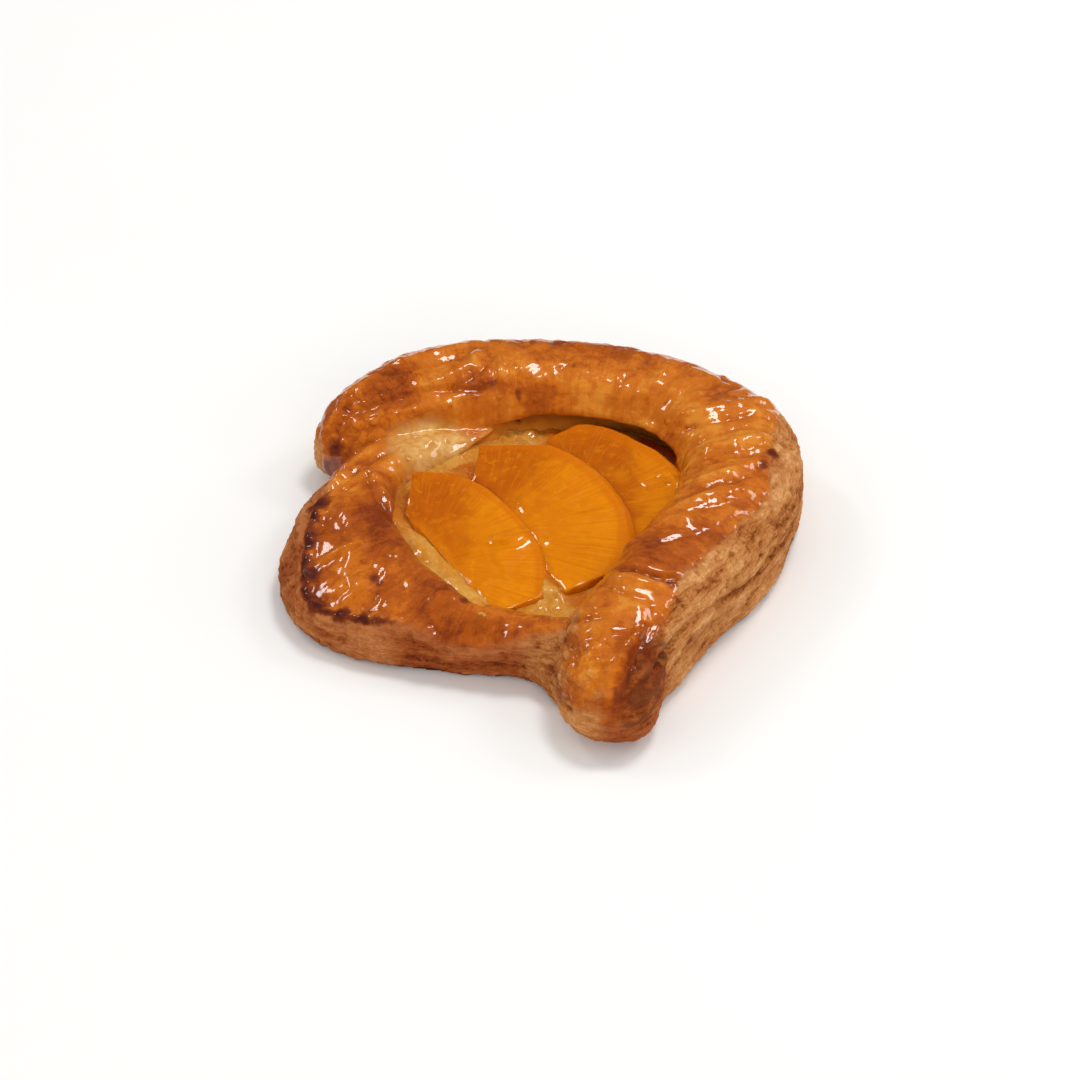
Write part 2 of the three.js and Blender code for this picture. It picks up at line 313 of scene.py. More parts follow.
def apply_modifier(piece, name, kind, **settings):
    pick(piece)
    modifier = piece.modifiers.new(name, kind)
    for key, value in settings.items():
        setattr(modifier, key, value)
    bpy.ops.object.modifier_apply(modifier=modifier.name)


def read_mesh(mesh):
    """A mesh's points in millimetres and its outward normals."""
    points = np.zeros(len(mesh.vertices) * 3)
    mesh.vertices.foreach_get("co", points)
    normals = np.zeros(len(mesh.vertices) * 3)
    mesh.vertices.foreach_get("normal", normals)
    return points.reshape(-1, 3) / MM, normals.reshape(-1, 3)


def write_mesh(mesh, points):
    mesh.vertices.foreach_set("co", (points * MM).ravel())
    mesh.update()


def store(mesh, name, values):
    """Keeps a number, or a set of three, for every point of a mesh, for its material."""
    kind = "FLOAT" if values.ndim == 1 else "FLOAT_VECTOR"
    attribute = mesh.attributes.get(name) or mesh.attributes.new(name, kind, "POINT")
    field = "value" if values.ndim == 1 else "vector"
    attribute.data.foreach_set(field, values.astype(np.float32).ravel())


def copy_of_node(node, name):
    """A new piece with a merged copy of a CAD node's mesh."""
    deselect()
    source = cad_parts[node]
    piece = bpy.data.objects.new(name, source.data.copy())
    piece.data.materials.clear()
    bpy.context.scene.collection.objects.link(piece)
    pick(piece)
    bpy.ops.object.mode_set(mode="EDIT")
    bpy.ops.mesh.select_all(action="SELECT")
    bpy.ops.mesh.remove_doubles(threshold=0.00001)
    bpy.ops.object.mode_set(mode="OBJECT")
    return piece


def select_points(mesh, chosen):
    """Selects points of a mesh in object mode, and the faces that lie wholly on them."""
    mesh.vertices.foreach_set("select", chosen)
    for polygon in mesh.polygons:
        polygon.select = all(chosen[v] for v in polygon.vertices)
    for edge in mesh.edges:
        edge.select = bool(chosen[edge.vertices[0]] and chosen[edge.vertices[1]])


# ---- the dough ----

def fold_place(points):
    """For each point: place along its fold, across it (outwards over 0), a share of 1 on
    the long fold, the long fold's own across, and the long fold's outward direction."""
    plan = points[:, :2]
    long_along, long_across, long_gap, long_out = along_and_across(plan, LONG_FOLD)
    short_along, short_across, short_gap, _ = along_and_across(plan, SHORT_FOLD)
    on_long = smoothstep(-1.5, 1.5, (short_gap / 11 - long_gap / 13) * 12 + points[:, 2] - 13)
    long_side = on_long > 0.5
    along = np.where(long_side, long_along, 300 + short_along)
    across = np.where(long_side, long_across, short_across)
    return along, across, on_long, long_across, long_out


def dough_masks(points, normals):
    """Where the crust is glazed, pale, brown, scorched or blistered, each 0 to 1."""
    x, y, z = points.T
    plan = points[:, :2]
    along, across, on_long, across_long, _ = fold_place(points)
    waver = rough(points / 4, 21)
    fine_waver = rough(points / 1.6, 22)

    edge = normals[:, 2] + 0.14 * waver
    wall = (1 - smoothstep(0.30, 0.50, edge)) * smoothstep(2, 5, across)
    place, beyond, _, _ = along_and_across(plan, LONG_GLAZE_EDGE)
    right_wall = smoothstep(-1.0, 1.0, beyond + 0.8 * waver + 0.3 * fine_waver)
    right_wall = right_wall * smoothstep(20, 26, x - 0.15 * y) * (place > 2)
    _, beyond_short, edge_gap, _ = along_and_across(plan, SHORT_GLAZE_EDGE)
    left_wall = smoothstep(-1.0, 1.1, beyond_short + 0.35 * waver)
    left_wall = left_wall * (1 - on_long) * smoothstep(26, 22, y)
    wall = np.maximum.reduce([wall, right_wall, left_wall])
    flank = smoothstep(0.78, 0.28, normals[:, 2] + 0.35 * waver) * smoothstep(-34, -42, y)
    lobe_side = flank * (0.72 + 0.35 * fine_waver) * smoothstep(2, -2, x - 24 - 0.1 * y)
    low = smoothstep(8.5, 6.5, z + 0.5 * waver) * smoothstep(3, 6, np.abs(across))
    wall = np.clip(np.maximum.reduce([wall, low, lobe_side]), 0, 1)

    inner = smoothstep(-3, -6, across + 0.7 * waver)
    lip_height = lip_level(x)
    under_back = smoothstep(-2, -6, across_long) * smoothstep(20, 28, y) * smoothstep(-33, -27, x)
    under_back = under_back * smoothstep(lip_height, lip_height - 1.0, z)
    upper_left = 1 - smoothstep(7, 13, np.hypot(x + 25, (y - 26) * 1.1) + 1.2 * waver)
    upper_left = upper_left * smoothstep(18, 15.0, z) * smoothstep(-40, -34, x)
    inner_left = inner * (1 - on_long) * smoothstep(12.6, 11.2, z + 0.3 * waver)
    pale = np.clip(np.maximum.reduce([under_back, upper_left, inner_left]), 0, 1)
    shaded = under_back * smoothstep(-24, -12, x)

    tone = 0.10 * rough(points / 6, 23)
    for tx, ty, radius, strength in TONES:
        tone += strength * np.exp(-((x - tx) ** 2 + (y - ty) ** 2) / radius ** 2)
    tone += 0.42 * wall * smoothstep(5, -15, x) * smoothstep(30, 20, y)

    charred = smoothstep(-28, -36, x) * smoothstep(12, 6, y) * (1 - on_long)
    broken = smoothstep(-0.7, 0.3, rough(points / 4, 31) + 0.9 * charred)
    spread = 1.0 + 1.6 * smoothstep(-0.6, 0.8, rough(points / 3, 32))
    inside_edge = edge_gap + 0.5 * smoothstep(0, 2, beyond_short) + 0.3 * fine_waver
    scorch = (0.12 + 0.38 * charred) * np.exp(-(inside_edge / spread) ** 2) * broken
    scorch += 0.28 * np.exp(-(edge_gap / 3.6) ** 2) * charred * smoothstep(-0.4, 0.5, waver)
    scorch = scorch * smoothstep(5, 8, z) * (1 - on_long) * smoothstep(6, -4, x)
    scorch = scorch * smoothstep(1.3, 0.0, beyond_short)
    for sx, sy, radius, strength in SCORCHES:
        gap = np.hypot(x - sx, y - sy) / radius + 0.30 * waver + 0.15 * fine_waver
        scorch = np.maximum(scorch, strength * np.exp(-gap ** 2) * smoothstep(3, 6, z))
    foot = smoothstep(1.4, 0.3, z + 0.6 * waver) * 0.55
    scorch = np.clip(np.maximum(scorch, foot), 0, 1)

    back_left = 1 - smoothstep(6, 14, np.hypot(x + 42, y - 35))
    front_left = 1 - smoothstep(3, 8, np.hypot(x - 8, y + 51))
    lobe_neck = 1 - smoothstep(2, 5, np.hypot(x - 8, y + 39))
    corner = 1 - smoothstep(3, 7, np.hypot(x - 53, (y - 24) * 0.6))
    back = smoothstep(38, 43, y) * 0.6
    blister = np.maximum.reduce([back_left, front_left, lobe_neck, corner, back])
    return {
        "glazed": np.clip(1 - wall, 0, 1),
        "pale": pale * (1 - wall),
        "shaded": shaded,
        "tone": tone,
        "scorched": scorch,
        "blistered": np.clip(blister, 0, 1) * (1 - pale),
        "fine": np.maximum.reduce([front_left, lobe_neck, corner]),
        "on_long": on_long,
    }


def undercut_back_lip(points):
    """The back fold hangs over the filling: its edge comes forward, the wall below goes in."""
    x, y, z = points.T
    _, _, _, across_long, outward = fold_place(points)
    inner = smoothstep(-1, -6, across_long) * smoothstep(20, 29, y) * smoothstep(-24, -6, x)
    lip_height = lip_level(x)
    below = smoothstep(lip_height - 0.4, lip_height - 2.2, z) * smoothstep(5.6, 7.5, z)
    lip = np.exp(-((z - lip_height - 0.5) / 1.2) ** 2)
    shift = inner * (5.0 * below - 1.0 * lip)
    points[:, :2] += outward * shift[:, None]
    return points


def lip_level(x):
    """How high the back lip's edge stands along the filling."""
    return 12.6 + 3.2 * smoothstep(-22, 4, x)


def shape_dough(points, normals):
    """The dough's surface moved to its creases, blisters, leaves and hollows."""
    x, y, z = points.T
    plan = points[:, :2]
    masks = dough_masks(points, normals)
    along, across, on_long, _, _ = fold_place(points)
    wall = 1 - masks["glazed"]
    top = masks["glazed"] * (1 - masks["pale"])
    bent = points + 1.6 * np.stack([ripple(points / 6, s) for s in (26, 27, 28)], 1)
    lift = 0.40 * ripple(points / 15, 1)
    lift += top * (0.55 * swell(bent / 12, 2) + 0.28 * swell(bent / 5.5, 24))

    # Fine folds run across the roll where it turns the right corner and the back left.
    right_turn = 1 - smoothstep(14, 26, np.hypot(x - 40, y - 14))
    left_turn = 1 - smoothstep(8, 18, np.hypot(x + 40, y - 40))
    folds = np.stack([along / 3.1, across / 13, z / 30], 1) + 1.1 * rough(points / 8, 29)[:, None]
    lift += top * (0.05 + 0.13 * np.maximum(right_turn, left_turn)) * swell(folds, 3)
    slant = np.stack([(along + across) / 2.2, (across - along) / 15, z / 30], 1)
    lift += top * 0.10 * swell(slant, 4)

    for corners, width, height in CREASES:
        place, _, gap, _ = along_and_across(plan, corners)
        length = np.linalg.norm(np.diff(smooth_path(corners), axis=0), axis=1).sum()
        ends = smoothstep(-1, 3, place) * smoothstep(length + 1, length - 3, place)
        bend = gap + 0.4 * ripple(points / 3, 5)
        lift += height * np.exp(-(bend / width) ** 2) * ends * smoothstep(9, 12, z)

    warp = points + 0.6 * np.stack([ripple(points / 2, s) for s in (6, 7, 8)], 1)
    coarse = bubbles(warp / 3.4, 9)
    fine = bubbles(warp / 1.8, 10)
    lift += masks["blistered"] * top * 0.26 * (coarse - 0.5)
    lift += masks["fine"] * 0.40 * (fine - 0.5)
    lift += masks["pale"] * 0.30 * ripple(points / 3.2, 25)

    # Thin leaves show on the cut walls, with pits where air has broken out.
    sway = 1.3 * ripple(points / 12, 11) + 0.5 * ripple(points / 4, 12)
    leaves = np.stack([x / 7, y / 7, (z + sway) / 0.9], 1)
    thick_leaves = np.stack([x / 13, y / 13, (z + sway) / 2.6], 1)
    lift += wall * (0.20 * ripple(leaves, 13) + 0.32 * ripple(thick_leaves, 14))
    lift += wall * (0.26 * ripple(points / 1.7, 18) + 0.18 * (bubbles(warp / 2.2, 19) - 0.5))
    pits = smoothstep(0.40, 0.85, ripple(points * (0.55, 0.55, 0.8), 15))
    lift -= wall * 0.6 * pits
    slope = smoothstep(-10, -38, y) * 4.5
    seam = np.exp(-((z - 10.5 - slope + 0.6 * sway) / 0.8) ** 2)
    right_side = smoothstep(22, 34, x - 0.25 * y) * (along < 300)
    lift -= wall * right_side * 1.1 * seam

    # The short fold's top leaf stands up a little along its scorched edge.
    _, _, gap, _ = along_and_across(plan, SHORT_GLAZE_EDGE)
    ridge = np.exp(-((gap - 0.4) / 1.0) ** 2) * smoothstep(6, 8.5, z) * (1 - on_long)
    lift += ridge * smoothstep(4, -6, x) * (0.7 + 0.7 * ripple(points / 2.4, 16))

    # The rolled end: leaves wound in an oval.
    offset = points - np.array(ROLL_MIDDLE)
    axis = np.array(ROLL_ALONG) / np.linalg.norm(ROLL_ALONG)
    length = offset @ axis
    around = np.linalg.norm(offset - np.outer(length, axis), axis=1)
    ring = np.hypot(length / 2.3, around) + 0.5 * ripple(points / 3, 17)
    roll = smoothstep(6.5, 4.5, ring) * smoothstep(14, 17, x)
    lift += roll * (0.36 * np.cos(ring * 2 * math.pi / 1.5) - 0.15)
    masks["rolled"] = roll * (0.5 + 0.5 * np.cos(ring * 2 * math.pi / 1.5))

    moved = points + normals * lift[:, None]
    low, high = (np.array(corner) / MM for corner in cad_box)
    room = np.array([1.2, 1.2, 0.3])
    moved = np.clip(moved, low - room * (1, 1, 0), high + room)
    masks["leaf"] = np.clip(0.5 + 0.5 * ripple(thick_leaves, 14), 0, 1)
    masks["hollow"] = np.clip(0.5 - lift, 0, 1)
    masks["place"] = np.stack([along, across, z], 1)
    return moved, masks


def make_dough():
    piece = copy_of_node("pastry", "dough")
    apply_modifier(piece, "even faces", "REMESH", mode="VOXEL", voxel_size=0.55 * MM)
    apply_modifier(piece, "round off", "SMOOTH", factor=0.5, iterations=22)
    points, normals = read_mesh(piece.data)
    points[:, 2] = np.where(points[:, 2] < 0.25, 0, points[:, 2])
    write_mesh(piece.data, undercut_back_lip(points))
    points, normals = read_mesh(piece.data)

    # Faces that lie on the table or under the custard carry no detail.
    flat = (points[:, 2] < 0.05) | ((points[:, 2] < 6.3) & (normals[:, 2] > 0.9))
    pick(piece)
    select_points(piece.data, flat)
    bpy.ops.object.mode_set(mode="EDIT")
    bpy.ops.mesh.decimate(ratio=0.05)
    bpy.ops.object.mode_set(mode="OBJECT")

    points, normals = read_mesh(piece.data)
    moved, masks = shape_dough(points, normals)
    still = points[:, 2] < 0.05
    moved[still] = points[still]
    write_mesh(piece.data, moved)
    for name, values in masks.items():
        store(piece.data, name, values)
    piece.data.polygons.foreach_set("use_smooth", [True] * len(piece.data.polygons))
    return piece


# ---- the fruit ----

def square_off(mesh, power):
    """Turns a round ball's plan towards a square, so that a slice of it has blunt tips."""
    points, _ = read_mesh(mesh)
    plan = points[:, :2]
    length = np.maximum(np.linalg.norm(plan, axis=1), 1e-9)
    share = np.abs(plan) / length[:, None]
    points[:, :2] = plan / (share ** power).sum(1)[:, None] ** (1 / power)
    write_mesh(mesh, points)


def make_peach(name, at, half, reach, heading, roll, pitch, tip_turn, painted_light_shift, seed, ridges):
    """One slice: a ball cut flat above, on its stone side and at its tips, then softened."""
    deselect()
    bpy.ops.mesh.primitive_uv_sphere_add(segments=96, ring_count=48, radius=1)
    piece = bpy.context.object
    piece.name = name
    piece.data.name = name
    square_off(piece.data, PEACH_SQUARENESS)
    bpy.ops.object.mode_set(mode="EDIT")
    bpy.ops.mesh.select_all(action="SELECT")
    bpy.ops.transform.resize(value=(reach * MM, PEACH_LENGTHEN * half * MM, PEACH_DEPTH * MM))
    bpy.ops.transform.translate(value=(0, 0.8 * MM, -PEACH_SINK * MM))
    turned = math.radians(tip_turn)
    cuts = [
        ((0, 0, 0), (0, 0, 1)),
        ((0, 0, -7.2), (0.25, 0, -1)),
        ((-4.2, 0, 0), (-1, -0.05, 0.10)),
        ((-4.2, 0.63 * half, 0), (-0.78, 0.62, 0.08)),
        ((2.6, (0.90 + 0.002 * tip_turn) * half, 0), (math.sin(turned), math.cos(turned), 0.10)),
        ((0, -0.85 * half, 0), (0, -1, 0)),
    ]
    for place, direction in cuts:
        bpy.ops.mesh.select_all(action="SELECT")
        bpy.ops.mesh.bisect(
            plane_co=Vector(place) * MM, plane_no=direction, use_fill=True, clear_outer=True
        )
    bpy.ops.object.mode_set(mode="OBJECT")
    apply_modifier(piece, "even faces", "REMESH", mode="VOXEL", voxel_size=0.40 * MM)
    apply_modifier(piece, "round off", "SMOOTH", factor=0.5, iterations=9)

    points, normals = read_mesh(piece.data)
    x, y, z = points.T
    seeded = points + 50.0 * seed
    swing = np.arctan2(y, x + 10)
    out = np.hypot(y, x + 10)
    cut_face = smoothstep(0.75, 0.97, normals[:, 2])
    side = 1 - smoothstep(0.3, 0.7, np.abs(normals[:, 2]))
    fibre = np.stack([swing * 60, out / 16, z / 3], 1) + seed
    lift = 0.45 * ripple(seeded / 13, 1) + 0.16 * ripple(seeded / 5, 2) + 0.04 * ripple(seeded / 2, 3)
    lift -= 0.5 * np.exp(-((x / 4) ** 2 + (y / 11) ** 2)) * cut_face
    lift += side * 0.45 * ripple(seeded / 4.5, 5)
    points = points + normals * lift[:, None]
    points[:, 2] -= 1.1 * smoothstep(-0.5, -5.0, x) * smoothstep(-6, -3, z)
    edge = np.clip(np.hypot(x / (reach * 0.9), np.minimum(y, 0) / (half * 0.9)), 0, 1)
    out_to_skin = np.hypot(x / reach, y / (PEACH_LENGTHEN * half)) + 0.02 * ripple(seeded / 4, 7)
    store(piece.data, "rim", smoothstep(0.78, 0.84, out_to_skin) * smoothstep(1, 5, x))
    store(piece.data, "fibre", fibre)
    store(piece.data, "cut_face", cut_face)
    # Painted glow and shade: the flesh is lighter towards the skin and the lower end, and darker at the upper
    # tip.
    glow_and_shade = 0.35 + painted_light_shift + 0.7 * edge ** 1.5 - 0.75 * smoothstep(-0.1 * half, half, y)
    store(piece.data, "glow_and_shade", np.clip(glow_and_shade, 0, 1))

    lean, tip, spin = (math.radians(angle) for angle in (-roll, pitch, heading + 90))
    turn = Matrix.Rotation(spin, 3, "Z") @ Matrix.Rotation(lean, 3, "Y")
    turn = turn @ Matrix.Rotation(tip, 3, "X")
    points = points @ np.array(turn).T + np.array(at)
    for corners, width, height in ridges:
        place, _, gap, _ = along_and_across(points[:, :2], corners)
        bend = gap + 0.5 * ripple(points / 2.5, 6)
        points[:, 2] += height * np.exp(-(bend / width) ** 2) * cut_face
    write_mesh(piece.data, points)
    piece.data.polygons.foreach_set("use_smooth", [True] * len(piece.data.polygons))
    return piece


# ---- the custard and the glaze ----

def inside_outline(plan, corners):
    """How far inside a closed outline each plan point lies; under 0 outside it."""
    loop = smooth_path(list(corners) + [corners[0]], 8)
    inside = np.zeros(len(plan), bool)
    gap = np.full(len(plan), 1e9)
    for (ax, ay), (bx, by) in zip(loop[:-1], loop[1:]):
        crosses = (ay > plan[:, 1]) != (by > plan[:, 1])
        reach = ax + (plan[:, 1] - ay) * (bx - ax) / (by - ay if by != ay else 1e-9)
        inside ^= crosses & (plan[:, 0] < reach)
        side = np.array([bx - ax, by - ay])
        share = np.clip(((plan - (ax, ay)) @ side) / max(side @ side, 1e-9), 0, 1)
        gap = np.minimum(gap, np.linalg.norm(plan - (ax, ay) - share[:, None] * side, axis=1))
    return np.where(inside, gap, -gap)


def make_bed(name, outline, step, low, surface):
    """A closed bed inside an outline: flat below at low, its top a height for each place."""
    deselect()
    corners = np.array(outline, float)
    middle = (corners.min(0) + corners.max(0)) / 2
    size = np.ptp(corners, axis=0) + 4
    counts = np.ceil(size / step).astype(int)
    bpy.ops.mesh.primitive_grid_add(
        x_subdivisions=int(counts[0]), y_subdivisions=int(counts[1]), size=1
    )
    piece = bpy.context.object
    piece.name = name
    piece.data.name = name
    points, _ = read_mesh(piece.data)
    points = points * MM * (size[0], size[1], 0) + (middle[0], middle[1], 0)
    write_mesh(piece.data, points)
    outside = inside_outline(points[:, :2], outline) < 0
    pick(piece)
    select_points(piece.data, outside)
    for polygon in piece.data.polygons:
        polygon.select = any(outside[v] for v in polygon.vertices)
    for edge in piece.data.edges:
        edge.select = False
    bpy.ops.object.mode_set(mode="EDIT")
    bpy.ops.mesh.select_mode(type="FACE")
    bpy.ops.mesh.delete(type="FACE")
    bpy.ops.mesh.select_all(action="SELECT")
    bpy.ops.mesh.extrude_region_move(TRANSFORM_OT_translate={"value": (0, 0, 8 * MM)})
    bpy.ops.mesh.select_all(action="SELECT")
    bpy.ops.mesh.normals_make_consistent(inside=False)
    bpy.ops.object.mode_set(mode="OBJECT")
    points, _ = read_mesh(piece.data)
    upper = points[:, 2] > 4
    points[:, 2] = np.where(upper, surface(points[:, :2]), low)
    write_mesh(piece.data, points)
    piece.data.polygons.foreach_set("use_smooth", [True] * len(piece.data.polygons))
    return piece


CUSTARD_OUTLINE = [
    (-35, 5), (-35, 15), (-32, 25), (-24, 33), (-14, 38), (-2, 40.5), (10, 40.5), (20, 37),
    (28, 30), (33, 20), (34, 8), (30, -4), (23, -15), (15, -26.5), (8, -31.5), (1, -32.5),
    (-11, -32.5),
    (-20, -26), (-27, -16), (-33, -5),
]


def slice_place(plan, at, half, heading):
    """Each plan point's place across a slice, from its straight edge to its skin, and along."""
    angle = math.radians(heading)
    offset = plan - np.array(at[:2])
    across = offset[:, 0] * -math.sin(angle) + offset[:, 1] * math.cos(angle)
    along = offset[:, 0] * math.cos(angle) + offset[:, 1] * math.sin(angle)
    return across, along / half


def custard_surface(plan):
    """The filling's top: a soft bed with lumps, and clear glaze lying up against the fruit."""
    points = np.column_stack([plan, np.zeros(len(plan))])
    x, y = plan.T
    inside = inside_outline(plan, CUSTARD_OUTLINE)
    height = 11.6 + 0.40 * ripple(points / 7, 61) + 0.14 * ripple(points / 2.6, 62)
    behind = smoothstep(24, 31, y + 0.35 * x) * smoothstep(30, 20, x)
    height -= 1.5 * behind
    for fruit in PEACHES:
        across, along = slice_place(plan, fruit["at"], fruit["half"], fruit["heading"])
        on_edge = smoothstep(1.0, 0.75, np.abs(along))
        height += 1.8 * np.exp(-((across + 5.5) / 3.0) ** 2) * on_edge * (across > -11)
        wash = np.stack([across / 1.9, along * fruit["half"] / 9, np.zeros(len(plan))], 1)
        height += 0.55 * swell(wash + fruit["seed"], 64) * (across < 1) * (across > -10)
    lumps = bubbles(points / 3.2 + 3, 63)
    front = np.exp(-(((x - 1) / 4) ** 2 + ((y + 24) / 4) ** 2))
    back = np.exp(-(((x + 2) / 15) ** 2 + ((y - 36) / 3.5) ** 2))
    height += front * (0.8 * lumps - 0.6) + back * (0.8 + 0.9 * lumps)
    height += 0.5 * smoothstep(4, 1, inside)
    return np.minimum(height, 13.4)


# ---- materials ----

def new_material(name):
    material = bpy.data.materials.new(name)
    material.use_nodes = True
    nodes = material.node_tree.nodes
    return material, material.node_tree, nodes["Principled BSDF"]


class Wiring:
    """Short ways to add nodes to a material's tree or to a node group's."""

    def __init__(self, tree):
        self.tree = tree

    def node(self, kind, **settings):
        node = self.tree.nodes.new(kind)
        for key, value in settings.items():
            setattr(node, key, value)
        return node

    def feed(self, socket, value):
        if isinstance(value, bpy.types.NodeSocket):
            self.tree.links.new(value, socket)
        elif value is not None:
            socket.default_value = value

    def maths(self, operation, first, second=None, third=None, clamp=False):
        node = self.node("ShaderNodeMath", operation=operation, use_clamp=clamp)
        for socket, value in zip(node.inputs, (first, second, third)):
            self.feed(socket, value)
        return node.outputs[0]

    def kept(self, name, part="Fac"):
        return self.node("ShaderNodeAttribute", attribute_name=name).outputs[part]

    def place(self, scale=(1000, 1000, 1000), shift=(0, 0, 0)):
        """Object coordinates in millimetres, times an extra stretch."""
        coordinates = self.node("ShaderNodeTexCoord").outputs["Object"]
        mapping = self.node("ShaderNodeMapping")
        self.feed(mapping.inputs["Vector"], coordinates)
        mapping.inputs["Scale"].default_value = scale
        mapping.inputs["Location"].default_value = shift
        return mapping.outputs[0]

    def noise(self, vector, scale, detail=2.0, roughness=0.5, distortion=0.0):
        node = self.node("ShaderNodeTexNoise")
        self.feed(node.inputs["Vector"], vector)
        node.inputs["Scale"].default_value = scale
        node.inputs["Detail"].default_value = detail
        node.inputs["Roughness"].default_value = roughness
        node.inputs["Distortion"].default_value = distortion
        return node.outputs["Fac"]

    def bent(self, vector, scale, reach):
        """A vector moved about by noise, so that patterns on it lose their straight edges."""
        node = self.node("ShaderNodeTexNoise")
        self.feed(node.inputs["Vector"], vector)
        node.inputs["Scale"].default_value = scale
        moved = self.node("ShaderNodeVectorMath", operation="MULTIPLY_ADD")
        self.feed(moved.inputs[0], node.outputs["Color"])
        moved.inputs[1].default_value = (reach, reach, reach)
        self.feed(moved.inputs[2], vector)
        return moved.outputs[0]

    def between(self, value, low, high, to_low=0.0, to_high=1.0):
        node = self.node("ShaderNodeMapRange", interpolation_type="SMOOTHSTEP")
        for socket, entry in zip(node.inputs, (value, low, high, to_low, to_high)):
            self.feed(socket, entry)
        return node.outputs[0]

    def blend(self, share, first, second, kind="MIX"):
        node = self.node("ShaderNodeMix", data_type="RGBA", blend_type=kind)
        self.feed(node.inputs[0], share)
        self.feed(node.inputs[6], first)
        self.feed(node.inputs[7], second)
        return node.outputs[2]

    def bump(self, height, strength, distance, normal=None):
        node = self.node("ShaderNodeBump")
        self.feed(node.inputs["Height"], height)
        node.inputs["Strength"].default_value = strength
        node.inputs["Distance"].default_value = distance
        if normal is not None:
            self.feed(node.inputs["Normal"], normal)
        return node.outputs[0]


def glaze_drops():
    """A node group of the drops in which the glaze stands, on the crust and on the fruit."""
    group = bpy.data.node_groups.new("glaze_drops", "ShaderNodeTree")
    group.interface.new_socket("Drops", in_out="OUTPUT", socket_type="NodeSocketFloat")
    w = Wiring(group)
    cells = w.node("ShaderNodeTexVoronoi", feature="F1")
    w.feed(cells.inputs["Vector"], w.bent(w.place(), 0.55, 0.9))
    cells.inputs["Scale"].default_value = 0.24
    some = w.node("ShaderNodeSeparateColor")
    w.feed(some.inputs[0], cells.outputs["Color"])
    dome = w.between(cells.outputs["Distance"], 0.06, 0.26, 1.0, 0.0)
    ends = w.node("NodeGroupOutput")
    w.feed(ends.inputs["Drops"], w.maths("MULTIPLY", dome, w.between(some.outputs[0], 0.56, 0.62)))
    return group


